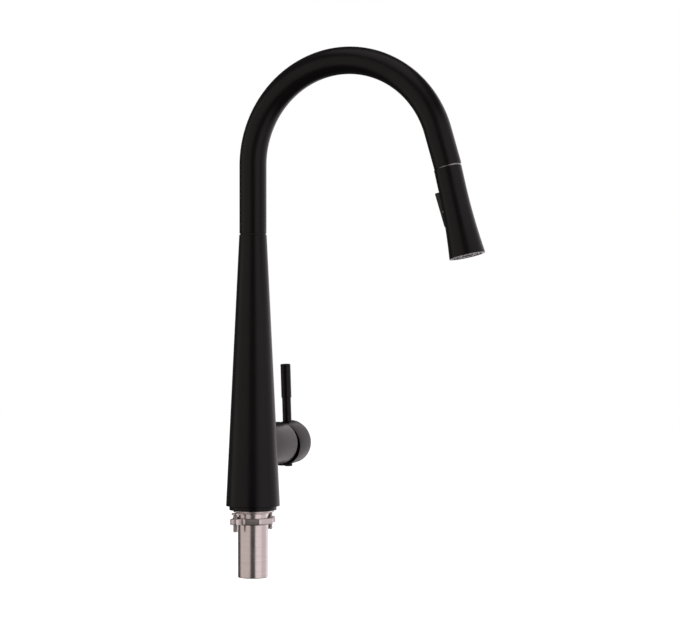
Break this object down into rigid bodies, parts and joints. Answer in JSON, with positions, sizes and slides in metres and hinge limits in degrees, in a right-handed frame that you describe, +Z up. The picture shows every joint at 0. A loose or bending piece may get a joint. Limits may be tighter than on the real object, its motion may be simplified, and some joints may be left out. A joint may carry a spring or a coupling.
{
  "type": "pull down kitchen faucet",
  "caption": "Tall tapered tap with a swivelling gooseneck spout, a pull-down spray head with a rocker button and a side lever valve, clamped through the deck.",
  "frame": {"origin": "on the column axis, at the underside of the base ring, where the faucet stands on the deck", "axes": "+Z up along the column; the spout reaches towards -Y, over the sink; the lever housing points towards +X"},
  "size_m": [0.1288, 0.2815, 0.5453],
  "materials": {
    "matt_black": "fine satin-matt powder coat",
    "black_plastic": "moulded, satin",
    "brushed_steel": "turned and brushed",
    "spring_steel": "drawn wire and strip",
    "brass": "machined",
    "seal_rubber": "moulded",
    "nozzle_rubber": "moulded silicone",
    "ceramic": "lapped",
    "acetal": "moulded",
    "magnet": "sintered",
    "face_plate": "grey, satin",
    "aerator_plastic": "moulded",
    "hose_braid": "woven nylon sleeve"
  },
  "bodies": {
    "column": {"base_ring": "matt_black", "base_seal": "seal_rubber", "base_insert": "brass", "body_shell": "matt_black", "shank_tube": "brushed_steel", "valve_body": "brass", "cartridge_foot": "acetal", "cartridge_seals": "seal_rubber", "ceramic_disc_fixed": "ceramic", "cartridge_body": "acetal", "cartridge_nut": "brass", "valve_sleeve": "matt_black", "dome_cover": "matt_black", "swivel_bush_lower": "acetal", "swivel_bush_upper": "acetal", "swivel_washer": "brushed_steel", "stop_screw": "brushed_steel", "spray_hose_lower": "hose_braid", "hose_tail": "brass"},
    "deck_clamp": {"clamp_plate": "brushed_steel", "ring_nut": "brushed_steel", "clamp_screws": "brushed_steel"},
    "spout": {"swivel_stem": "brass", "retaining_clip": "spring_steel", "spout_tube": "matt_black", "dock_insert": "acetal", "dock_magnet": "magnet", "spray_hose_upper": "hose_braid"},
    "hose_end": {"spray_hose_end": "hose_braid", "hose_connector": "brass"},
    "spray_head": {"dock_neck": "brushed_steel", "neck_plate": "brushed_steel", "spray_shell": "matt_black", "inlet_washer": "seal_rubber", "check_valve": "acetal", "waterway_body": "acetal", "rocker_pin": "spring_steel", "spray_face": "face_plate", "nozzle_mat": "nozzle_rubber", "face_ring": "brushed_steel", "aerator": "aerator_plastic"},
    "spray_rocker": {"rocker_button": "black_plastic"},
    "diverter": {"diverter_spool": "acetal"},
    "cartridge_turn": {"turn_ring": "acetal"},
    "cartridge_slide": {"ceramic_disc_moving": "ceramic", "disc_carrier": "acetal"},
    "handle": {"joystick_stem": "brass", "handle_cap": "matt_black", "lever_stem": "matt_black", "lever_grip": "matt_black", "cap_plug": "matt_black"}
  },
  "joints": [
    {"name": "clamp_travel", "type": "slide", "parent": "column", "child": "deck_clamp", "axis": [0, 0, -1], "range_m": [0, 0.045]},
    {"name": "spout_swivel", "type": "hinge", "parent": "column", "child": "spout", "pos_m": [0, 0, 0.285], "axis": [0, 0, 1], "range_deg": [-70, 70]},
    {"name": "spray_pull", "type": "slide", "parent": "spout", "child": "hose_end", "axis": [0, -0.2832, -0.9591], "range_m": [0, 0.45], "stiffness_N_per_m": 9, "springref_m": -0.6, "deforming": ["spray_hose_end"]},
    {"name": "spray_turn", "type": "hinge", "parent": "hose_end", "child": "spray_head", "pos_m": [0, -0.21517, 0.3504], "axis": [0, -0.2832, -0.9591], "continuous": true},
    {"name": "rocker_tilt", "type": "hinge", "parent": "spray_head", "child": "spray_rocker", "pos_m": [0, -0.21363, 0.3048], "axis": [1, 0, 0], "range_deg": [0, 8]},
    {"name": "diverter_slide", "type": "slide", "parent": "spray_head", "child": "diverter", "axis": [0, -0.23, -0.9732], "range_m": [0, 0.00128]},
    {"name": "lever_turn", "type": "hinge", "parent": "column", "child": "cartridge_turn", "pos_m": [0.076, 0, 0.0662], "axis": [1, 0, 0], "range_deg": [-45, 45]},
    {"name": "lever_lift", "type": "hinge", "parent": "cartridge_turn", "child": "handle", "pos_m": [0.076, 0, 0.0662], "axis": [0, 1, 0], "range_deg": [0, 16]},
    {"name": "disc_slide", "type": "slide", "parent": "cartridge_turn", "child": "cartridge_slide", "axis": [0, 0, 1], "range_m": [0, 0.00848]}
  ],
  "couplings": [
    {"joint": "diverter_slide", "follows": "rocker_tilt", "m_per_rad": 0.0091},
    {"joint": "disc_slide", "follows": "lever_lift", "m_per_rad": 0.03033}
  ]
}
